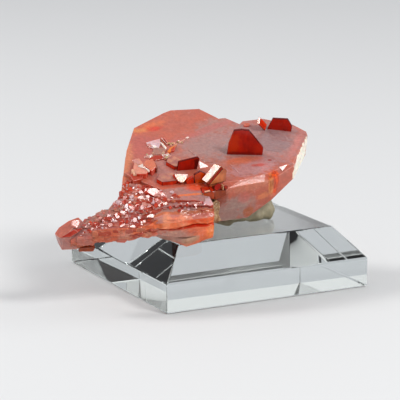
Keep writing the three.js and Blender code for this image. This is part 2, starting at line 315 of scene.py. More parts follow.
STACK_RINGS = (
    # u, then (v, w) down the front from the broad face's edge and back underneath
    (-12.2, ((0.4, -0.3), (-1.8, -0.5), (-2.4, -0.75), (-3, -0.8), (-3.1, -0.95), (-3.8, -0.95),
             (-4.1, -1.1), (-4.3, -1.9), (-4.3, -2.6), (-4.1, -2.75), (-4.1, -2.85), (-4.2, -3.3),
             (-4.1, -3.8), (-1, -4))),
    (-10.9, ((0.4, -0.2), (-2, -0.2), (-2.2, -0.4), (-3, -0.45), (-3.1, -0.6), (-3.9, -0.5), (-4.3, -0.6),
             (-4.55, -1.8), (-4.5, -2.7), (-4.2, -2.85), (-4.35, -3), (-4.7, -3.6), (-4.55, -4.3),
             (-1, -4.6))),
    (-9.3, ((0.4, 0.02), (-2.2, 0), (-2.3, -0.3), (-3.1, -0.35), (-3.1, -0.6), (-3.8, -0.7), (-4.35, -0.85),
            (-4.7, -1.9), (-4.55, -2.8), (-4.25, -3), (-4.6, -3.15), (-4.95, -3.9), (-4.9, -4.85),
            (-1, -4.9))),
    (-8, ((0.4, 0.03), (-2.5, 0.02), (-2.45, -0.22), (-3.3, -0.25), (-3.2, -0.65), (-3.85, -0.75),
          (-4.2, -1.05), (-4.7, -1.6), (-4.6, -2.55), (-4.25, -2.8), (-4.75, -2.95), (-5.25, -3.9),
          (-5.4, -5.3), (-1, -5))),
    (-6.6, ((0.4, 0.03), (-2.7, -0.12), (-2.65, -0.32), (-3.45, -0.34), (-3.3, -0.75), (-3.95, -0.85),
            (-4.2, -1.15), (-4.85, -1.55), (-4.6, -2.4), (-4.35, -2.65), (-4.9, -2.8), (-5.15, -3.9),
            (-5.1, -5.2), (-1, -5))),
    (-5.1, ((0.4, 0.03), (-2.7, -0.5), (-2.65, -0.65), (-3.5, -0.65), (-3.35, -0.9), (-3.9, -0.98),
            (-4.15, -1.2), (-4.8, -1.6), (-4.7, -2.6), (-4.4, -2.75), (-4.85, -2.9), (-5, -3.9),
            (-4.7, -5.1), (-1, -5))),
    (-4.2, ((0.4, -0.1), (-2.3, -0.7), (-2.3, -0.85), (-3.2, -0.85), (-3.1, -1), (-3.7, -1.1), (-4, -1.3),
            (-4.5, -1.6), (-4.4, -2.5), (-4.2, -2.7), (-4.6, -2.9), (-4.7, -3.9), (-4.5, -5), (-1, -4.8))),
)
STACK_TINTS = (
    # a colour for the left end and one for the right end, for each strip from the broad face's edge down
    (MAUVE, MAUVE), (DRUSE_RED, DRUSE_RED), (MAUVE, MAUVE), (DEEP_RED, DRUSE_RED), (GREY_PINK, MAUVE),
    (TAN, TAN), (PINK, SALMON), (ORANGE, ORANGE), (ORANGE, ORANGE), (DEEP_RED, BRIGHT_RED),
    (GREY_PINK, ORANGE), (GREY_PINK, ORANGE), (GREY_PINK, TAN), (GREY_PINK, TAN),
)

ARM_RINGS = (
    # u, then (v, w): back foot, back, crest, slope, shoulder, front, front foot, foot
    (-22.9, ((-1.9, -4.2), (-1.8, -3.5), (-2.2, -3.1), (-3, -3.1), (-3.8, -3.2), (-4, -3.7), (-3.8, -4.4),
             (-2.9, -4.6))),
    (-21.2, ((-1.5, -3.9), (-1.2, -2.9), (-1.8, -2.2), (-2.9, -2.15), (-3.9, -2.25), (-4.3, -3),
             (-4.1, -4.3), (-2.9, -4.6))),
    (-19.9, ((-1.2, -3.8), (-0.9, -2.5), (-1.5, -1.75), (-2.9, -1.75), (-4.1, -1.95), (-4.5, -2.8),
             (-4.3, -3.7), (-2.8, -4.2))),
    (-18.3, ((-1, -3.8), (-0.6, -2), (-1.4, -0.75), (-2.9, -1.3), (-4.3, -1.85), (-4.6, -2.8), (-4.4, -3.85),
             (-2.8, -4.2))),
    (-17.5, ((-0.9, -3.9), (-0.4, -2), (-1.2, -1.05), (-2.9, -1.1), (-4.35, -1.8), (-4.7, -2.8),
             (-4.5, -3.9), (-2.8, -4.3))),
    (-16.5, ((-0.8, -4), (0.2, -2), (-0.3, -0.65), (-2.8, -0.9), (-4.4, -1.85), (-4.7, -2.9), (-4.5, -4),
             (-2.8, -4.4))),
    (-14.6, ((-0.4, -4.2), (0.9, -2), (0.4, -0.4), (-2.6, -0.7), (-4.5, -2), (-4.75, -2.8), (-4.5, -3.7),
             (-2.8, -4.4))),
    (-13, ((0, -4.4), (1.6, -2), (1.2, -0.2), (-2.4, -0.5), (-4.5, -1.9), (-4.7, -2.5), (-4.4, -3.3),
           (-2.8, -4.4))),
    (-11, ((0.5, -4.4), (2, -2), (1.8, -0.1), (-2.2, -0.3), (-4.1, -1), (-4.4, -2.4), (-4.2, -3.2),
           (-2.8, -4.4))),
)
ARM_TINTS = (
    # tip end and root end, for each strip round the ring
    (TAN, TAN), (SALMON, SALMON), (GREY_PINK, SALMON), (MAUVE, DRUSE_RED), (SALMON, ORANGE), (TAN, SALMON),
    (BROWN, TAN), (BROWN, TAN),
)
DRAWN_OUT = 2.5
SQUARE_STEPS = 1.7  # to a grain
STACK_SKIN = {"step": 0.16, "wobble": 0.13, "grain": 1.1, "blocks": 0.0}
ARM_SKIN = {"step": 0.2, "wobble": 0.15, "grain": 0.7, "blocks": 0.5}


def loft(mass, rings, tints, step, wobble, grain, blocks):
    """A closed skin through rings of corners at several u, with a corner every step. Noise of that grain,
    drawn out along u, moves it by wobble, and blocks is how strongly it comes in square steps too."""
    first, last = rings[0][0], rings[-1][0]
    count = round((last - first) / step)
    sides = len(tints)
    longest = [max(math.dist(ring[j], ring[(j + 1) % sides]) for _, ring in rings) for j in range(sides)]
    parts = [max(1, round(length / step)) for length in longest]
    loops = []
    for i in range(count + 1):
        u = first + (last - first) * i / count
        k = max(k for k in range(len(rings) - 1) if rings[k][0] <= u + 1e-9)
        share = min(1.0, (u - rings[k][0]) / (rings[k + 1][0] - rings[k][0]))
        ring = [Vector((u, *blended(a, b, share))) for a, b in zip(rings[k][1], rings[k + 1][1])]
        centre = sum(ring, Vector()) / sides
        loop = []
        for j in range(sides):
            for m in range(parts[j]):
                p = ring[j].lerp(ring[(j + 1) % sides], m / parts[j])
                place = Vector((p.x / DRAWN_OUT, p.y, p.z)) / grain
                rough = noise.fractal(place, 0.9, 2.1, 4) + blocks * (noise.cell(place * SQUARE_STEPS) - 0.5)
                p += (p - centre).normalized() * wobble * rough
                loop.append(mass.bm.verts.new(p))
        loops.append(loop)
    owner = [j for j in range(sides) for _ in range(parts[j])]
    for i, (near, far) in enumerate(zip(loops, loops[1:])):
        share = i / count
        for m, j in enumerate(owner):
            n = (m + 1) % len(owner)
            face = mass.bm.faces.new([near[m], near[n], far[n], far[m]])
            mass.paint(face, blended(*tints[j], share))
    for loop, corners in ((loops[0], 1), (loops[-1], -1)):
        mass.paint(mass.bm.faces.new(loop[::-corners]), tints[0][0])


SLABS = (
    # left and right end as (u, front v, top w), thickness, widest block, and three tints: of the top's left
    # end, of its right end, and of the broken edge, whose dark red is partly the crystal's own and partly
    # painted shadow
    ((-10.7, -3.15, -0.3), (-4, -3.5, -0.62), 0.42, 0.8, MAUVE, LILAC, DEEP_RED),
    ((-10.9, -3.85, -0.62), (-4.1, -4.05, -0.98), 0.4, 0.9, GREY_PINK, TAN, RUSSET),
)
SLAB_BACK = 0.3


def slab(mass, rng, left, right, thick, widest, top_left, top_right, edge):
    """A broken plate of the front stack: a row of blocks, each with its own front edge, height and slope."""
    u = left[0]
    while u < right[0] - 0.1:
        width = min(rng.uniform(0.35, 1.0) * widest, right[0] - u)
        share = (u + width / 2 - left[0]) / (right[0] - left[0])
        front = left[1] + (right[1] - left[1]) * share + rng.uniform(-0.14, 0.12)
        top = left[2] + (right[2] - left[2]) * share + rng.uniform(-0.05, 0.04)
        slope, skew = rng.uniform(-0.1, 0.16), rng.uniform(-0.22, 0.22)
        points = []
        for x, y in ((u, front + skew), (u + width, front - skew)):
            points += [(x, y, top - slope), (x, SLAB_BACK, top + 0.02), (x, y + 0.06, top - thick),
                       (x, SLAB_BACK, top - thick)]
        tint = blended(top_left, top_right, share)
        tint = blended(tint, rng.choice((GREY_PINK, ROSE, PINK)), rng.uniform(0, 0.3))
        # the sides take the broken edge's tint: partly the crystal's red, partly painted shadow under the
        # shelf
        mass.add(tidy_hull(points, 0), tint, (0, 0, 1), blended(edge, tint, rng.uniform(0.0, 0.45)))
        u += width


FRONT_BLOCKS = 22
FIRST_BLOCK_AT, LAST_BLOCK_AT = (-12.4, -4.7, -2.75), (-21.7, -4.35, -2.95)
FRONT_BLOCK_TINTS = (TAN, DRUSE_RED, TAN, SALMON, RUSSET)


def front_blocks(mass, rng):
    """A row of blocky crystals set in the arm's lower side."""
    for step in range(FRONT_BLOCKS):
        u, v, w = blended(FIRST_BLOCK_AT, LAST_BLOCK_AT, step / (FRONT_BLOCKS - 1))
        long, high = rng.uniform(0.35, 1.0), rng.uniform(0.2, 0.5)
        outline = [(-long, -high * 0.6), (-long * 0.8, high), (long * 0.7, high * 0.9), (long, -high * 0.2),
                   (long * 0.5, -high)]
        w += rng.uniform(-0.8, 0.6)
        mass.flat(rng.choice(FRONT_BLOCK_TINTS), at=(u, v, w), facing=tilted((-0.1, -1, 0.2), 14, rng),
                  outline=outline, thick=0.8, bevel=0.04)


KNOB_CORNERS = 24


def knob(mass, rng, at, size, tint):
    """A rough many-faced lump."""
    points = []
    for _ in range(KNOB_CORNERS):
        away = Vector([rng.gauss(0, 1) for _ in range(3)]).normalized()
        points.append(Vector(at) + Vector([a * b for a, b in zip(away, size)]))
    mass.hull(points, tint, bevel=0.04)


KNOBS = (
    # middle, half sizes, tint: the humps of the arm's crest, then the larger crystals among the druse
    ((-17.7, -1.2, -1.75), (1.4, 0.8, 0.62), GREY_PINK), ((-16.2, -0.7, -1.25), (0.8, 0.6, 0.6), SALMON),
    ((-19.6, -1.9, -2.1), (0.9, 0.7, 0.5), MAUVE), ((-14.6, -0.3, -0.9), (0.7, 0.8, 0.5), GREY_PINK),
    ((-13.4, -0.2, -0.75), (0.55, 0.9, 0.55), ORANGE), ((-12.7, 0.6, -0.5), (0.5, 0.6, 0.45), RUSSET),
    ((-10.9, -0.5, -0.25), (0.45, 0.5, 0.4), DEEP_RED), ((-11.9, -1.6, -0.5), (0.55, 0.45, 0.4), DEEP_RED),
    ((-15.4, -1.5, -0.95), (0.45, 0.4, 0.4), BRIGHT_RED), ((-14.6, -2.6, -1), (0.5, 0.35, 0.35), DEEP_RED),
    ((-17, -2.9, -1.3), (0.6, 0.35, 0.3), BRIGHT_RED), ((-9.8, -3.2, -0.5), (0.3, 0.3, 0.3), BRIGHT_RED),
    ((-14, -4.55, -2.9), (0.5, 0.35, 0.3), DEEP_RED), ((-12.4, -4.5, -2.6), (0.45, 0.3, 0.25), DEEP_RED),
)
ARM_SCALES = 150


def arm_scales(mass, rng):
    """Low plates over the arm's back slope, in a band that widens towards its root."""
    tree = mass.tree()
    for _ in range(ARM_SCALES):
        u = rng.uniform(-21.5, -12.5)
        v = rng.uniform(-3.0, -0.9 + (u + 17) * 0.12)
        spot = dropped(tree, u, v)
        if spot is None:
            continue
        reach = rng.uniform(0.12, 0.42)
        tint = blended(rng.choice((GREY_PINK, MAUVE, MAUVE, ROSE)), rng.choice((TAN, DRUSE_RED)),
                       rng.uniform(0, 0.6))
        mass.flat(tint, at=spot + Vector((0, 0, rng.uniform(0, 0.06))),
                  facing=tilted((-0.15, 0.1, 1), 24, rng), up=tilted((0, 1, 0), 60, rng),
                  outline=uneven_hexagon(rng, reach, 0.7, 1.1), thick=0.25, bevel=0.02)


SCAR = (
    # tint, top height, corners (u, v)
    (LILAC, 0.09, ((-8.8, 11.8), (-6.8, 12.3), (-6.9, 11.3), (-7.6, 10.1), (-8.3, 10.3), (-8.8, 11.1))),
    (PINK, 0.12, ((-8.9, 11.3), (-8.4, 11.5), (-8.2, 10.9), (-8.6, 10.5))),
    (GLINT, 0.16, ((-8.3, 11), (-7.8, 10.8), (-7.7, 10.4), (-8.1, 10.2))),
    (GLINT, 0.15, ((-6.95, 11.3), (-6.8, 11.3), (-6.45, 10), (-6.7, 9.8))),
    (GREY_PINK, 0.04, ((-8.2, 10.3), (-7.1, 10.2), (-6.6, 9.7), (-7.4, 8.7), (-8.8, 8.9))),
    (BROWN, 0.03, ((-6.8, 12.2), (-6.65, 12.4), (-6.3, 10.7), (-6.45, 10.5))),
    (MAUVE, 0.05, ((-6.5, 12.5), (-6.35, 12.6), (-6.05, 11), (-6.2, 10.9))),
    (ROSE, 0.05, ((-6.15, 12.6), (-6, 12.6), (-5.8, 11.2), (-5.95, 11.1))),
    (FLAME, 0.22, ((-6.7, 9), (-6.1, 9.7), (-5, 10.3), (-5.9, 9), (-6.5, 8.8))),
    (BRIGHT_RED, 0.24, ((-6.1, 9.35), (-5.1, 10.2), (-5.7, 9), (-6.2, 8.85))),
    (BROWN, 0.06, ((-7.6, 7.7), (-6.8, 7.4), (-6.9, 7.1), (-7.6, 7.3))),
    (DEEP_RED, 0.08, ((-9.5, 7.9), (-8.5, 8.4), (-7.6, 8.2), (-7.6, 7.6), (-8.8, 7.35))),
    (GLINT, 0.06, ((-3.3, 12), (-3, 12.2), (-2.7, 12.1), (-3.1, 11.8))),
)
SCAR_FOOT = -0.3
SCAR_RISE = 0.06  # how far a plate's top rises for each mm back
SCAR_GRAINS = 90
GRAIN_SPOTS = ((-7.2, 8.3), (-6.9, 8.2), (-7.0, 7.8), (-7.3, 8.6), (-9.4, 8.4), (-9.2, 8.5), (-5.6, 10.9),
            (-4.4, 11.3))


def scar(mass, rng):
    """The little crater on the left crystal: thin broken plates, an orange flame and cream grains."""
    for tint, top, corners in SCAR:
        middle = sum((Vector(c) for c in corners), Vector((0, 0))) / len(corners)
        points = [(u, v, top + SCAR_RISE * (v - middle.y)) for u, v in corners]
        points += [(u, v, SCAR_FOOT) for u, v in corners]
        mass.hull(points, tint, bevel=0.02)
    for _ in range(SCAR_GRAINS):
        centre = rng.choice(GRAIN_SPOTS)
        at = (centre[0] + rng.gauss(0, 0.25), centre[1] + rng.gauss(0, 0.18), rng.uniform(-0.02, 0.08))
        mass.flat(rng.choice((GLINT, CREAM, OLIVE, PINK)), at=at, facing=tilted((0, -0.3, 1), 50, rng),
                  outline=hexagon(rng.uniform(0.08, 0.20)), thick=0.3, bevel=0.02)


DRUSE_PATCHES = (
    # corners (u, v) of the patch, spacing in mm, largest reach
    (((-21.4, -3.9), (-20.6, -2.6), (-17.5, -2.6), (-13.4, -1.6), (-11.6, -3.4), (-13, -4.3)), 0.27, 0.32),
    (((-16.8, -0.9), (-15.4, 2.6), (-13.4, 3.8), (-10.2, 1), (-9.6, -2.4), (-12.4, -2.8)), 0.3, 0.4),
    (((-10.6, -2.9), (-10.4, 0.2), (-8.8, 0), (-7.9, -2.6)), 0.5, 0.34),
    (((-8.8, -3.9), (-8.2, -2.7), (-5.2, -2.9), (-4.9, -3.6)), 0.33, 0.26),
)
FLASHES = (
    # (u, v) and reach of flat crystals that catch the key light
    ((-13, -0.3), 0.42), ((-12.1, -0.55), 0.36), ((-14.7, -1.9), 0.38), ((-15.9, -2.5), 0.32),
    ((-13.5, -3.9), 0.3), ((-12.5, -3.7), 0.36),
    ((-16.3, -4.1), 0.33), ((-15.1, -4.3), 0.38), ((-17.9, -3.8), 0.3), ((-18.8, -3.5), 0.22),
    ((-20.8, -3.2), 0.2),
    ((-12.8, 1.8), 0.22), ((-13.1, 3), 0.22), ((-7.6, -3.2), 0.16), ((-8.3, -3.8), 0.14),
)


# One tint to each step of a band of noise. The pale LILAC and PINK among them stand in for glints: a painted
# highlight.
DRUSE_TINTS = (ORANGE, MAUVE, DEEP_RED, LILAC, DEEP_RED, BRIGHT_RED, RUSSET, PINK, DRUSE_RED, ROSE, TAN,
            ORANGE)
DRUSE_BAND = 1.1
SHARE_TO_A_LIGHT = 0.16
FLASH_STRETCH = (1.4, 0.75)


def inside(u, v, corners):
    """Whether a point is in a polygon."""
    hit = False
    for (au, av), (bu, bv) in zip(corners, corners[1:] + corners[:1]):
        if (av > v) != (bv > v) and u < (bu - au) * (v - av) / (bv - av) + au:
            hit = not hit
    return hit


def flashes(mass, rng, tree):
    """The larger flat crystals that catch the key light. Their pale pink tint adds a painted highlight to the
    light they mirror.
    """
    wide, high = FLASH_STRETCH
    for (u, v), reach in FLASHES:
        mass.flat(PINK, at=dropped(tree, u, v) + TO_THE_KEY * reach * 0.7, facing=tilted(TO_THE_KEY, 3, rng),
                  thick=reach * 1.6, bevel=0.02,
                  outline=[(x * wide, y * high) for x, y in uneven_hexagon(rng, reach, 0.3, 1.2)])


def druse_crystal(mass, rng, spot, reach):
    """One small tabular crystal. Some of them face a light and flash."""
    facing = tilted((-0.05, -0.4, 1), 60, rng)
    band = noise.noise(spot / DRUSE_BAND) * 0.5 + 0.5 + rng.uniform(-0.2, 0.2)
    tint = DRUSE_TINTS[min(len(DRUSE_TINTS) - 1, max(0, int(band * len(DRUSE_TINTS))))]
    if rng.random() < SHARE_TO_A_LIGHT:
        facing = tilted(rng.choice((TO_THE_KEY, TO_THE_KEY, TO_THE_BACK_LIGHT)), 5, rng)
    outline = uneven_hexagon(rng, reach)
    at = spot + facing.normalized() * reach * rng.uniform(0.05, 0.5)
    mass.flat(tint, at=at, facing=facing, up=tilted((0, 1, 0), 80, rng), outline=outline,
              thick=reach * rng.uniform(0.8, 1.8), bevel=reach * 0.06)


def druse(mass, rng):
    """Hundreds of tiny crystals, dropped onto what is already there."""
    tree = mass.tree()
    flashes(mass, rng, tree)
    for corners, spacing, largest in DRUSE_PATCHES:
        us, vs = zip(*corners)
        count = int((max(us) - min(us)) * (max(vs) - min(vs)) / spacing ** 2)
        for _ in range(count):
            u, v = rng.uniform(min(us), max(us)), rng.uniform(min(vs), max(vs))
            spot = dropped(tree, u, v) if inside(u, v, corners) else None
            if spot is not None:
                druse_crystal(mass, rng, spot, largest * (0.3 + 0.8 * rng.random() ** 2))


FAR_BEHIND = 30
BACK_DRUSE = (
    # middle (u, w) and half size of a patch on the back, then how many crystals are thrown at it
    ((4.4, -2.2), (1, 1.2), 60), ((-2, -2.7), (1.4, 0.5), 24), ((-16.5, -3.3), (1.8, 0.4), 40),
)


def back_druse(mass, rng):
    """Small crystals in the corners between the broad crystals, and behind the arm."""
    tree = mass.tree()
    for (u, w), (wide, high), count in BACK_DRUSE:
        for _ in range(count):
            start = Vector((u + rng.uniform(-wide, wide), FAR_BEHIND, w + rng.uniform(-high, high)))
            spot = tree.ray_cast(start, Vector((0, -1, 0)))[0]
            if spot is None:
                continue
            reach = 0.14 + 0.34 * rng.random() ** 2
            mass.flat(rng.choice(DRUSE_TINTS), at=spot + Vector((0, reach * 0.4, 0)), thick=reach * 1.3,
                      bevel=0.02, facing=tilted((-0.1, 1, 0.3), 55, rng), up=tilted((0, 0, 1), 80, rng),
                      outline=uneven_hexagon(rng, reach))


def build_mass(material):
    # its edge flats turn towards a painted highlight
    mass = Cluster(*EDGE_HIGHLIGHT)
    rng = random.Random(SEED)
    right_crystal(mass)
    middle_crystal(mass)
    left_crystal(mass)
    left_belts(mass)
    growth_hills(mass)
    loft(mass, STACK_RINGS, STACK_TINTS, **STACK_SKIN)
    loft(mass, ARM_RINGS, ARM_TINTS, **ARM_SKIN)
    mass.zoned = 0.4
    for plate_shape in SLABS:
        slab(mass, rng, *plate_shape)
    front_blocks(mass, rng)
    mass.zoned = 0.0
    for shape in KNOBS:
        knob(mass, rng, *shape)
    arm_scales(mass, rng)
    scar(mass, rng)
    druse(mass, rng)
    back_druse(mass, rng)
    mass.piece("intergrown_crystals", material, "crystal_mass")


# ---------- the standing crystals ----------

# plate, table and block each give a crystal's front tint, its side tint, its corners and its front's facing.

PRISM_TURN = (-0.5, 0.866, 0)


def plate(front, side, at, facing, thick, outline):
    """A flat crystal that stands on the broad face, or leans on it."""
    return front, side, flat_points(at, facing, outline, thick), facing


def table(front, side, at, thick, reach, facing=(0, 0, 1)):
    """A hexagonal crystal that lies on the broad face, with its sides along the broad crystals'."""
    return front, side, flat_points(at, facing, hexagon(reach), thick, PRISM_TURN), facing


def block(front, side, points, drop, facing=(0, 0, 1)):
    """A crystal through some corners and copies of them that are moved by drop."""
    return front, side, points + [tuple(p + d for p, d in zip(point, drop)) for point in points], facing


TIP_TOP, TIP_TOP_AT = (-0.6, 0.0, 0.8), (-22.6, -2.0, -2.2)
TIP_TOP_OUTLINE = [(-0.62, -2.25), (-1.12, -1.45), (-1.0, 0.14), (-0.39, 1.45), (0.25, 1.6), (0.84, 0.01),
            (1.36, -1.44), (0.5, -2.0)]
TIP_FRONT, TIP_FRONT_AT = (-0.72, -0.65, 0.25), (-22.6, -3.2, -3.6)
TIP_FRONT_OUTLINE = [(-2.25, -0.25), (-1.95, -0.5), (-1.14, -0.13), (0.72, 0.51), (0.94, -0.95),
            (-0.44, -1.42), (-1.2, -1.83), (-2.0, -1.07)]

# The PINK fronts that look along TO_THE_KEY or TO_THE_BACK_LIGHT mirror that light, and their pale tint adds a
# painted highlight to it.
STANDING = {
    "upright_crystal": [plate(DEEP_RED, GARNET, (3.3, 6.3, 0), (-0.24, -0.97, 0.02), 0.45, [(-2.45, -0.4),
        (-2.3, 1.6), (-1.7, 3.65), (-0.7, 3.8), (0.3, 3.7), (2.35, 1.1), (2.3, -0.4)])],
    "rear_crystal": [plate(DEEP_RED, GARNET, (9.85, 11.3, 0), (-0.38, -0.92, 0.05), 0.4, [(-1.7, -0.4),
        (-1.65, 0.2), (-1.1, 1.7), (0.95, 1.8), (1.6, 0.8), (1.55, -0.4)])],
    "rear_stub_crystal": [plate(PINK, BRIGHT_RED, (6.95, 11.9, 1.55), TO_THE_BACK_LIGHT, 1.7, [(-0.02, 0.45),
        (-0.55, 0.4), (0.02, -0.45), (0.55, -0.4)])],
    "face_bump_crystal": [table(SALMON, BRIGHT_RED, (5.85, 13.4, 0.2), 0.5, (0.5, 0.35, 0.42, 0.5, 0.3, 0.4),
        (0, -0.1, 1))],
    "dark_crystal": [plate(DEEP_RED, GARNET, (-5.4, 4.3, 0), (-0.05, -1, -0.1), 0.3, [(-1.35, -0.4),
        (-1.2, 1.45), (1.35, 1.95), (1.65, 1.65), (1.35, -0.4)])],
    "dark_step_crystal": [table(PLUM, BRIGHT_RED, (-6.5, 6, 0.45), 1, (0.9, 1.2, 1.1, 1, 1.3, 1.2))],
    "pale_stub_crystal": [plate(PINK, PINK, (-3, 4.6, 0.1), TO_THE_KEY, 0.7, [(-0.6, -0.5), (-0.5, 0.9),
        (0.5, 0.1), (0.9, -0.4)])],
    "mirror_crystal": [block(PINK, BRIGHT_RED, [(-7.85, 2, 1.2), (-5.92, 2, 0.95), (-6.2, 1.5, 0.55),
        (-6.68, 1.1, 0.3), (-7, 1, 0.25), (-7.5, 1.2, 0.45), (-7.75, 1.5, 0.75)], (-0.05, 0.5, -0.6),
        TO_THE_KEY)],
    "red_step_crystal": [table(PLUM, BRIGHT_RED, (-8.65, 2.35, 0.5), 1, (1.3, 1, 1.2, 1.3, 1, 1.4))],
    "amber_crystal": [
        block(AMBER, GARNET, [(-5.36, 1.2, 1.14), (-4.57, 1.2, 1.58), (-3.81, 1.2, 1.18), (-3.9, 1, -0.6),
            (-4.3, 0.7, -1), (-5.25, 0.9, -0.4)], (0.05, 0.5, -0.1), (0, -1, 0)),
        block(BRIGHT_RED, BRIGHT_RED, [(-6.5, 1, 0.3), (-5.5, 1, 1.05), (-5.3, 1, -0.2), (-6.3, 1, -0.15)],
            (0, 0.6, -0.1))],
    "bar_crystal": [
        block(PINK, TAN, [(-2.1, 0.29, 2.64), (-2.65, 1.4, 2.45), (-4.55, 0.6, 0.72), (-4.13, -0.47, 0.81)],
            (0.16, 0.05, -0.2), TO_THE_BACK_LIGHT),
        block(DEEP_RED, DEEP_RED, [(-2.02, 0.26, 2.52), (-4.06, -0.51, 0.7), (-1.86, 0.14, 2.36),
            (-3.9, -0.59, 0.52)], (0.1, 0.5, -0.2)),
        block(TAN, TAN, [(-1.84, 0.19, 2.3), (-1.31, 0.19, 1.99), (-1.35, 0.09, 0.4), (-3.54, -0.31, -0.05),
            (-3.88, -0.51, 0.45)], (0, 1.5, -0.5))],
    "foot_crystal": [
        block(CHESTNUT, RUSSET, [(-4.95, -1.5, -0.05), (-3.9, -1.5, 0.1), (-3.3, -1.5, 0),
            (-3.3, -1.6, -1.1), (-4.9, -1.5, -0.9)], (0.1, 1.4, 0.05), (0, -1, 0)),
        block(BROWN, BROWN, [(-3.4, -1.3, 0.15), (-1.6, -0.9, -0.35), (-1.55, -0.9, -1.2),
            (-3.2, -1.5, -1.35)], (0.1, 1.2, 0.05)),
        block(PINK, PINK, [(-4.98, -1.55, -0.1), (-4.82, -1.55, -0.05), (-5, -1.55, -0.95),
            (-5.12, -1.55, -0.9)], (0, 0.4, 0)),
        block(PINK, PINK, [(-4.7, -1.53, 0.06), (-3.9, -1.53, 0.19), (-3.95, -1.53, 0.08),
            (-4.65, -1.53, -0.04)], (0, 0.4, 0)),
        plate(DEEP_RED, DEEP_RED, (-2.86, -1.1, 0.45), (-0.1, -0.8, 0.5), 0.6,
            hexagon((0.45, 0.5, 0.35, 0.4, 0.5, 0.4))),
        block(CREAM, CREAM, [(-2.2, -1.2, 0.5), (-2.05, -1.2, 0.55), (-2, -1.2, -0.05), (-2.15, -1.2, -0.1)],
            (0, 0.5, 0)),
        plate(DRUSE_RED, DRUSE_RED, (-1.6, -0.8, 0), (-0.1, -0.8, 0.5), 0.4, hexagon(0.25))],
    "box_crystal": [
        block(PEACH, BRIGHT_RED, [(-11.6, 7.3, 0.72), (-11, 7.2, 0.72), (-10.9, 5.6, 0.76),
            (-10.66, 4.13, 0.72), (-11.1, 3.5, 0.66), (-12.55, 3.8, 0.62), (-12.4, 5.3, 0.68)],
            (0, -0.1, -1.2)),
        block(RUST, BRIGHT_RED, [(-10.4, 6.6, 0.7), (-9.33, 6.8, 0.7), (-9.3, 5, 0.72), (-9.7, 4.5, 0.72),
            (-10.26, 3.9, 0.74), (-10.63, 4.7, 0.8), (-11, 5.6, 0.8)], (0.05, -0.1, -1.2)),
        block(GARNET, GARNET, [(-9.32, 5.9, 0.74), (-9.24, 5.9, 0.74), (-9.24, 4.8, 0.74),
            (-9.5, 4.5, 0.74)], (0.03, -0.1, -1.1)),
        # This pink block and the two GLINT blocks after it are a painted highlight: the pale mark on the box's
        # top.
        block(PINK, PINK, [(-12.1, 7, 0.74), (-11.5, 7.1, 0.78), (-11.2, 6.3, 0.82), (-11.5, 5.7, 0.8)],
            (0, 0, -0.3)),
        block(GLINT, GLINT, [(-11.8, 5.4, 0.75), (-11, 5.7, 0.86), (-11.1, 4.9, 0.84), (-11.25, 4.75, 0.8)],
            (0, 0, -0.3)),
        block(GLINT, GLINT, [(-11.1, 5, 0.84), (-10.95, 5, 0.84), (-10.5, 4, 0.82), (-10.75, 3.9, 0.78)],
            (0, 0, -0.3)),
        block(CREAM, CREAM, [(-12.75, 5, 0.6), (-12.4, 5.1, 0.66), (-12.3, 3.75, 0.64), (-12.75, 3.8, 0.55)],
            (0, -0.05, -0.7)),
        block(RUSSET, RUSSET, [(-13.2, 4.1, 0.35), (-12.5, 4.5, 0.4), (-11.4, 4, 0.4), (-11.8, 3, 0.3),
            (-13, 2.8, 0.25)], (0, 0, -0.9))],
    "ledge_crystal": [
        plate(PINK, BRIGHT_RED, (-11.06, -0.3, 0.52), TO_THE_KEY, 0.9, [(-1.15, 0), (-0.67, 0.38),
            (0.25, 0.3), (0.62, -0.2), (0.45, -0.75), (-0.27, -0.8), (-0.66, -0.46)]),
        plate(PINK, BRIGHT_RED, (-11.1, -0.4, 0.5), (0.06, -0.62, 0.78), 0.8, [(0.45, -0.2), (0.8, -0.3),
            (1.5, -0.95), (0.85, -1.12), (0.3, -0.9)])],
    "tip_crystal": [
        (SALMON, MAUVE, flat_points(TIP_TOP_AT, TIP_TOP, TIP_TOP_OUTLINE, 1)
            + flat_points(TIP_FRONT_AT, TIP_FRONT, TIP_FRONT_OUTLINE, 1), TIP_TOP),
        block(DEEP_RED, DEEP_RED, [(-22.3, -3.05, -2.11), (-21.18, -3.27, -1.9), (-21.9, -3.66, -2.21),
            (-22.94, -3.71, -2.78), (-24.2, -3.12, -3.12), (-23.18, -3.22, -2.62)], (0.1, 0.5, -0.3)),
        plate(PINK, PINK, (-21.97, -2.75, -1.52), TO_THE_KEY, 0.5, [(-0.55, -0.1), (-0.4, 0.5), (0.5, 0.45),
            (0.5, 0.05), (0, -0.6)])],
    "under_arm_crystal": [plate(BROWN, BROWN, (-20.9, -4.1, -4.75), (-0.1, -0.9, -0.3), 1.2, [(-1, -0.35),
        (-0.9, 0.4), (0.7, 0.55), (1.1, 0.1), (0.9, -0.5)])],
}


def build_standing(body, red):
    slots = {m["node"]: m["material_slot"] for m in frame["record"]["subparts"]}
    for name, crystals in STANDING.items():
        is_red = slots[name] == "crystal_red"
        # red crystals get a painted dark outline on their edge flats, the others a painted highlight
        cluster = Cluster(*(DARK if is_red else EDGE_HIGHLIGHT))
        cluster.zoned = 0.0
        for front, side, points, facing in crystals:
            cluster.add(tidy_hull(points, BEVEL, flatness=9), front, facing, side)
        cluster.piece(name + "_look", red if is_red else body, name)


# ---------- the block, the tack and the matrix ----------

WELD = 0.01 * MM


def node_shape(node):
    """The CAD node's own shape, welded and with its flat faces whole."""
    bm = bmesh.new()
    bm.from_mesh(frame["nodes"][node].data)
    bmesh.ops.remove_doubles(bm, verts=bm.verts, dist=WELD)
    bmesh.ops.dissolve_limit(bm, angle_limit=math.radians(1), verts=bm.verts, edges=bm.edges)
    return bm


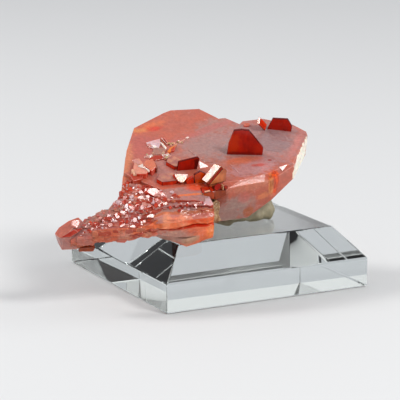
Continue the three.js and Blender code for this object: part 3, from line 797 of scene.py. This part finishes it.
def smoothed(bm, times):
    for _ in range(times):
        bmesh.ops.smooth_vert(bm, verts=bm.verts, factor=0.5, use_axis_x=True, use_axis_y=True,
                              use_axis_z=True)
    bm.normal_update()


def remeshed(bm, voxel):
    """The same solid as an even mesh."""
    mesh = bpy.data.meshes.new("coarse")
    bm.to_mesh(mesh)
    bm.free()
    holder = linked("coarse", mesh)
    holder.modifiers.new("even", "REMESH").voxel_size = voxel
    even = bmesh.new()
    even.from_object(holder, bpy.context.evaluated_depsgraph_get())
    bpy.data.objects.remove(holder)
    bpy.data.meshes.remove(mesh)
    return even


BROKEN_EDGE = 0.16 * MM


def build_block(material):
    """The block, with its polished edges just broken."""
    bm = node_shape("acrylic_block")
    bmesh.ops.bevel(bm, geom=list(bm.edges), offset=BROKEN_EDGE, segments=3, affect="EDGES", profile=0.5)
    new_piece("acrylic_block_look", bm, material, "acrylic_block")


TACK_VOXEL = 0.22 * MM
TACK_FOLD, TACK_FOLD_GRAIN = 0.3 * MM, 1.6 * MM
TACK_FOOT = 0.25  # the share of its height that is let down onto the block
TACK_PRESSED, TACK_PRESSED_FROM = 0.9 * MM, 0.35  # how far its top is pushed up, from which share of it up


def build_tack(material):
    """The tack: kneaded lumps, flat on the block and pressed up against the specimen."""
    bm = remeshed(node_shape("tack_pad"), TACK_VOXEL)
    smoothed(bm, 6)
    for v in bm.verts:
        fold = noise.fractal(v.co / TACK_FOLD_GRAIN, 1.0, 2.0, 4)
        v.co += v.normal * TACK_FOLD * (fold - 0.3)
    block_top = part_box("acrylic_block")[1].z
    lowest, highest = min(v.co.z for v in bm.verts), max(v.co.z for v in bm.verts)
    for v in bm.verts:
        share = (v.co.z - lowest) / (highest - lowest)
        v.co.z += (block_top - lowest) * max(0.0, 1 - share / TACK_FOOT)
        v.co.z += TACK_PRESSED * max(0.0, share - TACK_PRESSED_FROM) / (1 - TACK_PRESSED_FROM)
    new_piece("tack_pad_look", bm, material, "tack_pad", smooth=True)


MATRIX_CUTS = 4
MATRIX_ROUGH, MATRIX_GRAIN = 0.3 * MM, 0.5 * MM
MATRIX_NOISE_AT = Vector((9, 9, 0)) * MM
MATRIX_GROWTH = 1.25  # up to the crystals round it, across the gap that the solids keep


def build_matrix(material):
    """The bit of matrix: rounded, and roughened with noise."""
    bm = node_shape("matrix_remnant")
    bmesh.ops.triangulate(bm, faces=bm.faces)
    bmesh.ops.subdivide_edges(bm, edges=bm.edges, cuts=MATRIX_CUTS, use_grid_fill=True)
    smoothed(bm, 3)
    for v in bm.verts:
        rough = noise.fractal((v.co + MATRIX_NOISE_AT) / MATRIX_GRAIN, 1.0, 2.0, 4)
        v.co += v.normal * MATRIX_ROUGH * (rough - 0.4)
    centre = sum((v.co for v in bm.verts), Vector()) / len(bm.verts)
    for v in bm.verts:
        v.co = centre + (v.co - centre) * MATRIX_GROWTH
    new_piece("matrix_look", bm, material, "matrix_remnant", smooth=True)


# ---------- materials ----------

class Shader:
    """A material's nodes, made one at a time."""

    def __init__(self, name, **values):
        self.material = bpy.data.materials.new(name)
        self.material.use_nodes = True
        self.tree = self.material.node_tree
        self.surface = self.tree.nodes["Principled BSDF"]
        self.output = self.tree.nodes["Material Output"]
        self.local = None
        for socket, value in values.items():
            self.surface.inputs[socket.replace("_", " ")].default_value = value

    def node(self, kind, inputs, **settings):
        node = self.tree.nodes.new("ShaderNode" + kind)
        for name, value in settings.items():
            setattr(node, name, value)
        for key, value in inputs.items():
            self.feed(node.inputs[key], value)
        return node

    def feed(self, socket, value):
        if isinstance(value, bpy.types.NodeSocket):
            self.tree.links.new(value, socket)
        else:
            socket.default_value = value

    def place(self, at=(0, 0, 0), size=(1, 1, 1), turn=0):
        """Coordinates in the specimen's frame in mm: from a point, turned about w, and divided by a size."""
        if self.local is None:
            turns = [math.radians(a) for a in (SPECIMEN_LEAN, SPECIMEN_ROLL, SPECIMEN_TURN)]
            own = self.node("TexCoord", {}).outputs["Object"]
            self.local = self.node("Mapping", {"Vector": own, "Location": SPECIMEN_AT, "Rotation": turns,
                                               "Scale": (MM, MM, MM)}, vector_type="TEXTURE").outputs[0]
        about_w = (0, 0, math.radians(turn))
        return self.node("Mapping", {"Vector": self.local, "Location": at, "Scale": size,
                                     "Rotation": about_w}, vector_type="TEXTURE").outputs[0]

    def noise(self, scale, detail=3, roughness=0.5, distortion=0.0, stretch=(1, 1, 1)):
        return self.node("TexNoise", {"Vector": self.place(size=stretch), "Scale": scale, "Detail": detail,
                                      "Roughness": roughness, "Distortion": distortion}).outputs["Fac"]

    def ramp(self, value, low, high, start=0.0, end=1.0):
        return self.node("MapRange", {"Value": value, "From Min": low, "From Max": high, "To Min": start,
                                      "To Max": end}, interpolation_type="SMOOTHSTEP").outputs["Result"]

    def maths(self, operation, a, b=0.0):
        return self.node("Math", {0: a, 1: b}, operation=operation).outputs[0]

    def mix(self, share, a, b, blend="MIX"):
        made = self.node("Mix", {"Factor": share}, data_type="RGBA", blend_type=blend)
        for socket, value in ((made.inputs[6], a), (made.inputs[7], b)):
            self.feed(socket, value if isinstance(value, bpy.types.NodeSocket) else (*value, 1))
        return made.outputs[2]

    def over(self, colour, mask, strength, tint):
        """The colour with a tint laid over it where the mask is 1, that strongly."""
        return self.mix(self.maths("MULTIPLY", mask, strength), colour, tint)

    def patch(self, at, size, soft=0.5, turn=0, wobble=1.0, grain=0.9):
        """1 inside an egg-shaped region with a ragged edge, fading to 0 outside it."""
        near = self.node("VectorMath", {0: self.place(at, size, turn)}, operation="LENGTH").outputs["Value"]
        ragged = self.maths("MULTIPLY_ADD", self.noise(grain, 5, 0.65), wobble * 2)
        ragged.node.inputs[2].default_value = -wobble
        return self.ramp(self.maths("ADD", near, ragged), 1 + soft / 2, 1 - soft / 2)

    def finish(self, colour, height, strength, distance):
        """Sets the surface's colour and its bump, and gives the material."""
        made = self.node("Bump", {"Height": height, "Strength": strength, "Distance": distance})
        self.feed(self.surface.inputs["Normal"], made.outputs["Normal"])
        self.feed(self.surface.inputs["Base Color"], colour)
        return self.material


PALE_FACE = (0.97, 0.88, 0.70)
ZONES = (
    # label, middle (u, v, w), half sizes, turn about w in degrees, colour, strength, softness
    # These grey zones on the broad face are painted sheen: the grey of a soft light mirrored in the face, laid
    # into its colour.
    ("painted sheen in the heart", (6.7, 9.2, 0), (6.6, 5.4, 1), 30, (0.35, 0.2, 0.19), 0.85, 1.1),
    ("painted sheen in the middle", (-0.8, 9.6, 0), (4.6, 3.4, 0.8), 15, (0.38, 0.21, 0.19), 0.8, 1.1),
    ("painted sheen at the back", (1.4, 14.4, -0.1), (3, 1.8, 0.8), 20, (0.38, 0.19, 0.16), 0.8, 1),
    ("pink seam", (0, 13.6, -0.1), (5.2, 0.7, 0.5), 22, (0.5, 0.12, 0.1), 0.6, 1),
    ("pink left", (-9.3, 10.8, 0), (3, 3.4, 0.6), 0, (0.46, 0.11, 0.09), 0.75, 0.9),
    # painted sheen as well: a light's grey reflection laid into the broad face's colour
    ("painted sheen between the steps", (-8, 5.2, 0), (2.4, 3, 0.5), 0, (0.42, 0.19, 0.16), 0.75, 1),
    ("glow under the amber", (-5.1, 0.2, -0.1), (1.6, 0.75, 0.5), 0, (0.68, 0.06, 0.008), 0.9, 1),
    # painted highlight: the light caught along the stack's top edge, painted in orange
    ("orange edge highlight on the stack", (-6.7, -1.35, -0.1), (2.3, 0.2, 0.4), 4, (0.74, 0.15, 0.03), 0.8, 0.8),
    ("pink front", (3.2, 3, 0), (3.4, 1.6, 0.6), 15, (0.5, 0.22, 0.21), 0.75, 0.6),
    ("glow under the upright crystal", (2.5, 5.1, 0), (2.3, 0.8, 0.5), 3, (0.6, 0.13, 0.065), 0.9, 1.1),
    ("red marks", (4.3, 3.5, 0), (1, 0.35, 0.4), 0, (0.52, 0.06, 0.04), 0.75, 0.8),
    ("red dot", (6.1, 4.4, 0), (0.25, 0.2, 0.3), 0, DRUSE_RED, 0.8, 0.8),
    ("right rim", (10.8, 7.4, 0), (0.5, 3.4, 0.5), -32, (0.56, 0.19, 0.16), 0.65, 1.2),
    ("orange back", (-7.2, 16, -0.1), (2.6, 0.75, 1), 28, (0.7, 0.17, 0.06), 0.75, 1.1),
    ("red spot", (-6.6, 15.5, -0.1), (1, 0.6, 0.6), 0, (0.6, 0.05, 0.025), 0.85, 1.3),
    ("ochre corner", (-8.9, 15.4, -0.1), (1, 0.45, 0.6), 0, (0.6, 0.22, 0.08), 0.8, 0.9),
    ("orange rim", (-12.6, 8.2, -0.3), (0.8, 4.2, 2), -22, (0.62, 0.22, 0.1), 0.7, 1.1),
    ("orange low", (4.1, 0.7, -2.9), (0.9, 0.9, 0.6), 0, (0.66, 0.2, 0.08), 0.8, 0.5),
    ("orange shoulder", (2.6, 0.2, -0.9), (3.6, 0.8, 0.7), 0, (0.62, 0.22, 0.13), 0.6, 0.9),
    ("grey foot", (-0.4, -0.2, -4.2), (3.4, 1.6, 2), 0, (0.31, 0.21, 0.18), 0.85, 0.8),
    ("brown inclusion", (2.1, 0.1, -4.8), (0.72, 0.9, 0.8), 0, (0.4, 0.1, 0.035), 0.85, 0.5),
    ("rosette", (1.3, 0.1, -2.5), (0.8, 0.6, 0.8), 0, (0.54, 0.14, 0.11), 0.6, 0.6),
    ("brown under the foot crystal", (-2.5, -0.8, -1.6), (1.3, 1.2, 1.5), 0, BROWN, 0.85, 0.7),
    ("bright front", (-9.4, -4.6, -1.9), (1.6, 0.8, 0.9), 0, (0.9, 0.22, 0.08), 0.6, 0.8),
    ("mauve arm", (-21.3, -4.2, -3), (1.1, 1.2, 0.9), 0, (0.42, 0.17, 0.15), 0.8, 0.7),
    ("orange arm", (-18.6, -4.6, -3), (1.8, 0.8, 0.9), 0, (0.58, 0.09, 0.03), 0.7, 0.9),
    ("pink arm", (-16, -4.6, -3), (0.9, 0.8, 0.9), 0, (0.62, 0.24, 0.17), 0.75, 0.6),
    ("dark arm", (-14.5, -4.5, -3.1), (0.55, 0.6, 0.35), 0, DRUSE_RED, 0.9, 0.5),
    ("pale edge of the plate", (-10.6, -4.5, -1.5), (0.5, 0.8, 1.1), 0, (0.95, 0.36, 0.18), 0.6, 1.3),
    ("pale edge further right", (-8.3, -4.6, -1.7), (0.6, 0.8, 0.8), 0, (0.92, 0.36, 0.2), 0.55, 1.3),
    ("red band", (-6.8, -4.8, -1.9), (1.7, 0.8, 0.28), 0, (0.85, 0.07, 0.01), 0.6, 1),
    ("grey low", (-9.8, -4.9, -3.9), (2.6, 1, 0.9), 0, (0.34, 0.19, 0.15), 0.85, 0.8),
    ("beige low", (-7.4, -5, -4.5), (1, 1, 0.7), 0, (0.42, 0.25, 0.15), 0.85, 0.7),
    ("dark marks", (-8, -4.95, -4), (1.3, 0.8, 0.13), 8, (0.1, 0.03, 0.02), 0.85, 0.5),
    ("yellow low right", (-4.6, -4.9, -3.8), (0.7, 0.8, 0.9), 0, (0.9, 0.27, 0.06), 0.6, 1),
    ("pale seam from the scar", (-4.3, 11.4, 0), (1.9, 0.1, 0.3), 33, CREAM, 0.7, 0.6),
    ("pale face", (11.1, 6.1, -1.7), (4.4, 0.22, 1.9), 58, PALE_FACE, 1, 0.3),
)
STREAK_TINTS = ((0.42, 0.035, 0.005), (0.80, 0.085, 0.005))
STREAK_TAN_TINTS = ((0.38, 0.08, 0.012), (0.60, 0.21, 0.06))
WARM_CLOUD, PALE_CLOUD, VEIN = (0.62, 0.12, 0.05), (0.66, 0.40, 0.36), (0.45, 0.05, 0.03)
DARK_LAYER, LIGHT_LAYER = (0.40, 0.05, 0.02), (0.88, 0.36, 0.20)
DARK_LINE, LIGHT_LINE = (0.33, 0.06, 0.03), (0.70, 0.40, 0.30)
GLOW_SCALE = 1.2 * MM


def orange_streak(shader, colour):
    """The orange stain on the right crystal's front corner, drawn out along the prism."""
    strands = shader.noise(1.5, 4, 0.6, 0.2, (0.45, 0.45, 3))
    stain = shader.mix(shader.ramp(strands, 0.42, 0.58), *STREAK_TINTS)
    tan = shader.patch((5.2, 1, -1.9), (0.5, 1, 1.7), 0.8)
    stain = shader.mix(tan, stain, shader.mix(shader.ramp(strands, 0.4, 0.6), *STREAK_TAN_TINTS))
    side = shader.patch((5.6, 1.2, -1.5), (1, 1, 1.75), 0.55, 0, 0.5, 1.6)
    return shader.mix(side, colour, stain)


def clouds_and_veins(shader, colour):
    veins = shader.ramp(shader.noise(1.1, 6, 0.7, 0.6, (1, 0.5, 1)), 0.58, 0.70)
    colour = shader.over(colour, veins, 0.45, VEIN)
    pale = shader.ramp(shader.noise(0.7, 6, 0.75, 0.4, (0.6, 1, 1)), 0.58, 0.74)
    return shader.over(colour, pale, 0.35, PALE_CLOUD)


def wall_layers(shader, colour):
    """Dark and light layers on the front of the stack and of the arm."""
    layers = shader.noise(1.3, 5, 0.65, 1.2, (2.6, 1, 0.6))
    wall = shader.patch((-9, -5, -2.2), (16, 1.2, 1.5), 0.6)
    for low, high, tint in ((0.48, 0.38, DARK_LAYER), (0.54, 0.66, LIGHT_LAYER)):
        share = shader.maths("MULTIPLY", shader.ramp(layers, low, high), 0.5)
        colour = shader.over(colour, wall, share, tint)
    return colour


def growth_lines(shader, colour):
    """Faint lines along the crystal axis, on the faces that run along it."""
    lines = shader.noise(1, 5, 0.6, 0.6, (3, 3, 0.7))
    normal = shader.node("TexCoord", {}).outputs["Normal"]
    along = shader.node("VectorMath", {0: normal, 1: AXIS}, operation="DOT_PRODUCT").outputs["Value"]
    prism = shader.ramp(shader.maths("ABSOLUTE", along), 0.5, 0.3, 0, 0.16)
    for low, high, tint in ((0.56, 0.42, DARK_LINE), (0.54, 0.66, LIGHT_LINE)):
        colour = shader.over(colour, prism, shader.ramp(lines, low, high), tint)
    return colour


def crystal_body():
    shader = Shader("crystal_body", Roughness=0.14, IOR=1.55, Specular_IOR_Level=0.32, Subsurface_Weight=0.25,
                    Subsurface_Radius=(1.0, 0.35, 0.2), Subsurface_Scale=GLOW_SCALE)
    own = shader.node("Attribute", {}, attribute_name="tint").outputs
    cloud = shader.ramp(shader.noise(0.28, 5, 0.6), 0.35, 0.65)
    colour = shader.over(own["Color"], cloud, 0.3, WARM_CLOUD)
    for name, at, size, turn, tint, strength, soft in ZONES:
        mask = shader.maths("MULTIPLY", shader.patch(at, size, soft, turn), strength)
        mask.node.label = name
        colour = shader.over(colour, mask, own["Alpha"], tint)
    for layer in (orange_streak, clouds_and_veins, wall_layers):
        colour = layer(shader, colour)
    grain = shader.ramp(shader.noise(2.2, 6, 0.75), 0.3, 0.7, 0.86, 1.14)
    colour = shader.node("VectorMath", {0: colour, 1: grain}, operation="MULTIPLY").outputs[0]
    colour = growth_lines(shader, colour)
    ridges = shader.noise(2.2, 5, 0.6, 0, (4, 4, 0.35))
    return shader.finish(colour, ridges, 0.25, 0.05 * MM)


# What the lightest parts of a red crystal are multiplied by.
BRIGHTENING = (1.55, 1.8, 1.3)
RED_ZONES = (
    # painted light: the upright crystal lighter at its left and right, where light shines through it
    ("bright left of the upright one", (1.6, 6.8, 1.7), (0.9, 1.2, 1.5), 0, (0.6, 0.04, 0.005), 0.75, 0.9),
    ("bright right of it", (4.9, 5.9, 0.9), (0.6, 1.2, 0.9), 0, (0.5, 0.02, 0.003), 0.6, 0.9),
    # painted shade at the upright crystal's foot
    ("dark foot of it", (3, 6.3, 0.1), (3, 1.2, 0.35), 0, (0.16, 0.004, 0.002), 0.7, 1.2),
    ("dark end of the dark crystal", (-4, 4.3, 0.8), (0.5, 0.9, 1.1), 0, (0.06, 0.001, 0.001), 0.85, 0.6),
    ("orange foot of the bar", (-3.9, 0.6, -0.3), (0.9, 1, 0.6), 0, (0.75, 0.1, 0.01), 0.8, 0.7),
    ("pale back of the bar", (-1.5, 0.8, 1.2), (0.6, 0.8, 0.9), 0, (0.5, 0.16, 0.08), 0.7, 0.7),
)


def crystal_red():
    shader = Shader("crystal_red", Roughness=0.07, IOR=1.5, Subsurface_Weight=0.2, Specular_IOR_Level=0.16,
                    Subsurface_Radius=(1.0, 0.15, 0.05), Subsurface_Scale=GLOW_SCALE, Transmission_Weight=0.2)
    own = shader.node("Attribute", {}, attribute_name="tint").outputs["Color"]
    cloud = shader.ramp(shader.noise(0.8, 4, 0.55, 0.3, (0.8, 0.8, 1.8)), 0.34, 0.66)
    colour = shader.mix(cloud, own, BRIGHTENING, "MULTIPLY")
    for name, at, size, turn, tint, strength, soft in RED_ZONES:
        mask = shader.patch(at, size, soft, turn)
        mask.node.label = name
        colour = shader.over(colour, mask, strength, tint)
    return shader.finish(colour, shader.noise(1.5, 4, 0.6, 0, (3, 3, 0.3)), 0.15, 0.04 * MM)


ACRYLIC_TINT, ACRYLIC_DENSITY = (0.90, 0.95, 0.93, 1), 30.0


def clear_acrylic():
    shader = Shader("clear_acrylic", Base_Color=(1, 1, 1, 1), Roughness=0, IOR=1.49, Transmission_Weight=1)
    polish = shader.ramp(shader.noise(0.7, 6, 0.65), 0.45, 0.75, 0, 0.06)
    shader.feed(shader.surface.inputs["Roughness"], polish)
    glass = shader.node("VolumeAbsorption", {"Color": ACRYLIC_TINT, "Density": ACRYLIC_DENSITY})
    shader.feed(shader.output.inputs["Volume"], glass.outputs[0])
    return shader.material


TACK_TINTS = ((0.22, 0.19, 0.11), (0.34, 0.30, 0.19))
MATRIX_TINTS, MATRIX_FLECK = ((0.24, 0.10, 0.04), (0.50, 0.30, 0.15)), (0.75, 0.66, 0.45)


def pale_tack():
    shader = Shader("pale_tack", Roughness=0.6, IOR=1.5, Subsurface_Weight=0.2, Subsurface_Scale=1.0 * MM,
                    Subsurface_Radius=(1.0, 0.9, 0.6))
    colour = shader.mix(shader.ramp(shader.noise(0.9, 5), 0.3, 0.7), *TACK_TINTS)
    return shader.finish(colour, shader.noise(3, 5), 0.4, 0.1 * MM)


def beige_matrix():
    shader = Shader("beige_matrix", Roughness=0.8, IOR=1.5)
    colour = shader.mix(shader.ramp(shader.noise(1.6, 6, 0.7), 0.35, 0.65), *MATRIX_TINTS)
    colour = shader.mix(shader.ramp(shader.noise(3.5, 4), 0.6, 0.7), colour, MATRIX_FLECK)
    return shader.finish(colour, shader.noise(5, 6, 0.7), 0.6, 0.15 * MM)


def plain_floor():
    return Shader("plain_floor", Base_Color=(0.70, 0.70, 0.69, 1), Roughness=0.7).material


# ---------- studio ----------

CAMERA_AT = Vector((-0.12819, -0.24364, 0.07266))
CAMERA_AZIMUTH, CAMERA_PITCH = -27.288, 12.756
CAMERA_LENS = 186.92


SOFTBOX_TARGET = Vector((-0.003, -0.005, 0.012))
SOFTBOXES = (
    # name, direction from the target, distance, side of the square, radiance
    ("key", (0.28, -0.72, 0.63), 0.5, 0.12, 28.0),
    ("left back", (-0.62, 0.40, 0.69), 0.5, 0.12, 24.0),
    ("right", (0.9, -0.1, 0.35), 0.6, 0.2, 4.0),
)
FLOOR_HALF, FLOOR_Z = 3, -0.0001
WORLD_TINT, WORLD_STRENGTH = (0.93, 0.95, 1.0, 1), 0.6


def build_camera():
    data = bpy.data.cameras.new("camera")
    data.lens = CAMERA_LENS
    data.sensor_width = 36
    data.clip_start = 0.01
    camera = linked("camera", data)
    camera.location = CAMERA_AT
    camera.rotation_euler = (math.radians(90 - CAMERA_PITCH), 0, math.radians(CAMERA_AZIMUTH))
    bpy.context.scene.camera = camera


def softbox(name, towards, distance, side, radiance):
    """A square light that faces the specimen from a direction."""
    data = bpy.data.lights.new(name, "AREA")
    data.shape = "RECTANGLE"
    data.size, data.size_y = side, side
    data.energy = radiance * math.pi * side * side
    direction = Vector(towards).normalized()
    light = linked(name, data)
    light.location = SOFTBOX_TARGET + direction * distance
    light.rotation_euler = direction.to_track_quat("Z", "Y").to_euler()


def build_studio():
    mesh = bpy.data.meshes.new("floor")
    corners = [(x * FLOOR_HALF, y * FLOOR_HALF, 0) for x, y in ((-1, -1), (1, -1), (1, 1), (-1, 1))]
    mesh.from_pydata(corners, [], [(0, 1, 2, 3)])
    mesh.materials.append(plain_floor())
    floor = linked("floor", mesh)
    floor.location.z = FLOOR_Z
    for light in SOFTBOXES:
        softbox(*light)
    world = bpy.data.worlds.new("studio")
    world.use_nodes = True
    background = world.node_tree.nodes["Background"]
    background.inputs["Color"].default_value = WORLD_TINT
    background.inputs["Strength"].default_value = WORLD_STRENGTH
    bpy.context.scene.world = world
    bpy.context.scene.view_settings.view_transform = "Standard"


build_camera()
body, red = crystal_body(), crystal_red()
build_mass(body)
build_standing(body, red)
build_block(clear_acrylic())
build_tack(pale_tack())
build_matrix(beige_matrix())
build_studio()
